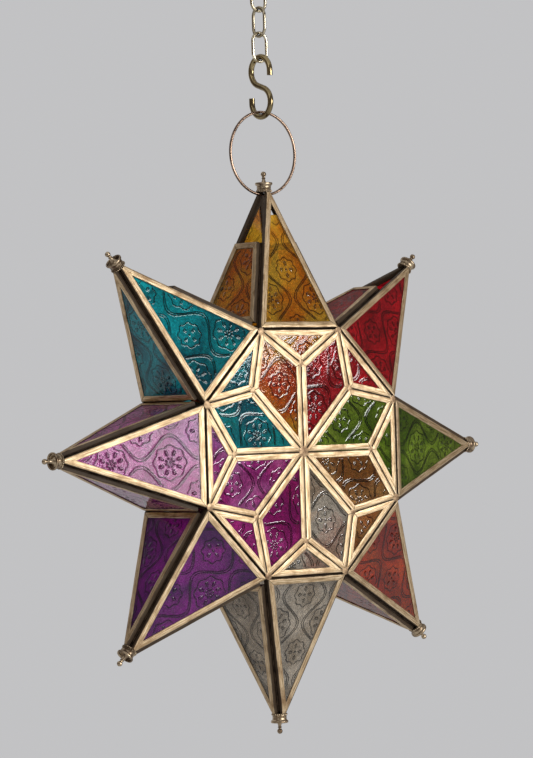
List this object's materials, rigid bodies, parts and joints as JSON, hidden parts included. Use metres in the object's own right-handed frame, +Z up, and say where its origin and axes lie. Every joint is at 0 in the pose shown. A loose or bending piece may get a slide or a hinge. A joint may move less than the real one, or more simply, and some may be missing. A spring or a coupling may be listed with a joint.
{
  "type": "hanging star lantern",
  "caption": "Hanging star-shaped tealight lantern of coloured pressed glass in brass came, with a back door, ring, S-hook and chain.",
  "frame": {"origin": "where a ceiling hook bears in the top link of the chain", "axes": "+Z up, -Y to the front of the star, +X to its right"},
  "size_m": [0.3934, 0.0746, 0.5625],
  "materials": {
    "came": "folded sheet brass came, lightly tarnished",
    "cap": "spun brass, antique grey-gold",
    "chain": "plated wire, antique brass",
    "hook": "plated rod, dark antique brass",
    "ring": "brass wire, tarnished",
    "fitting": "sheet brass, tarnished",
    "amber_glass": "pressed relief glass",
    "red_glass": "pressed relief glass",
    "green_glass": "pressed relief glass",
    "orange_glass": "pressed relief glass",
    "clear_glass": "pressed relief glass",
    "violet_glass": "pressed relief glass",
    "magenta_glass": "pressed relief glass",
    "teal_glass": "pressed relief glass"
  },
  "bodies": {
    "chain_link_1": {"chain_link_1": "chain"},
    "chain_link_2": {"chain_link_2": "chain"},
    "chain_link_3": {"chain_link_3": "chain"},
    "chain_link_4": {"chain_link_4": "chain"},
    "chain_link_5": {"chain_link_5": "chain"},
    "s_hook": {"s_hook": "hook"},
    "hanging_ring": {"hanging_ring": "ring"},
    "lantern": {"right_point_cames": "came", "right_point_glass": "green_glass", "right_finial": "cap", "upper_right_point_cames": "came", "upper_right_point_glass": "red_glass", "upper_right_finial": "cap", "top_point_cames": "came", "top_point_glass": "amber_glass", "top_finial": "cap", "upper_left_point_cames": "came", "upper_left_point_glass": "teal_glass", "upper_left_finial": "cap", "left_point_cames": "came", "left_point_glass": "magenta_glass", "left_finial": "cap", "lower_left_point_cames": "came", "lower_left_point_glass": "violet_glass", "lower_left_finial": "cap", "bottom_point_cames": "came", "bottom_point_glass": "clear_glass", "bottom_finial": "cap", "lower_right_point_cames": "came", "lower_right_point_glass": "orange_glass", "lower_right_finial": "cap", "front_kite_cames": "came", "front_triangle_cames": "came", "front_green_glass": "green_glass", "front_red_glass": "red_glass", "front_amber_glass": "amber_glass", "front_teal_glass": "teal_glass", "front_magenta_glass": "magenta_glass", "front_violet_glass": "violet_glass", "front_clear_glass": "clear_glass", "front_orange_glass": "orange_glass", "back_kite_cames": "came", "back_triangle_cames": "came", "back_green_glass": "green_glass", "back_red_glass": "red_glass", "back_amber_glass": "amber_glass", "back_teal_glass": "teal_glass", "back_magenta_glass": "magenta_glass", "back_violet_glass": "violet_glass", "back_clear_glass": "clear_glass", "back_orange_glass": "orange_glass", "frame_hinge_leaf": "fitting", "door_hinge_pin": "fitting", "candle_strap": "fitting", "candle_cup": "fitting"},
    "door": {"door_came": "came", "door_glass": "clear_glass", "door_hinge_leaf": "fitting", "door_pull": "fitting"}
  },
  "joints": [
    {"name": "link_2_swing", "type": "hinge", "parent": "chain_link_1", "child": "chain_link_2", "pos_m": [0, 0, -0.0191], "axis": [1, 0, 0], "range_deg": [-40, 40]},
    {"name": "link_3_swing", "type": "hinge", "parent": "chain_link_2", "child": "chain_link_3", "pos_m": [0, 0, -0.0368], "axis": [0, 1, 0], "range_deg": [-40, 40]},
    {"name": "link_4_swing", "type": "hinge", "parent": "chain_link_3", "child": "chain_link_4", "pos_m": [0, 0, -0.0545], "axis": [1, 0, 0], "range_deg": [-40, 40]},
    {"name": "link_5_swing", "type": "hinge", "parent": "chain_link_4", "child": "chain_link_5", "pos_m": [0, 0, -0.0722], "axis": [0, 1, 0], "range_deg": [-40, 40]},
    {"name": "hook_swing", "type": "hinge", "parent": "chain_link_5", "child": "s_hook", "pos_m": [0, 0, -0.0899], "axis": [1, 0, 0], "range_deg": [-40, 40]},
    {"name": "ring_swing", "type": "hinge", "parent": "s_hook", "child": "hanging_ring", "pos_m": [0, 0, -0.1286], "axis": [0, 1, 0], "range_deg": [-40, 40]},
    {"name": "lantern_swing", "type": "hinge", "parent": "hanging_ring", "child": "lantern", "pos_m": [0, 0, -0.1833], "axis": [1, 0, 0], "range_deg": [-60, 60]},
    {"name": "door_hinge", "type": "hinge", "parent": "lantern", "child": "door", "pos_m": [0, 0.0372, -0.39459], "axis": [0, 0, 1], "range_deg": [0, 170]}
  ]
}
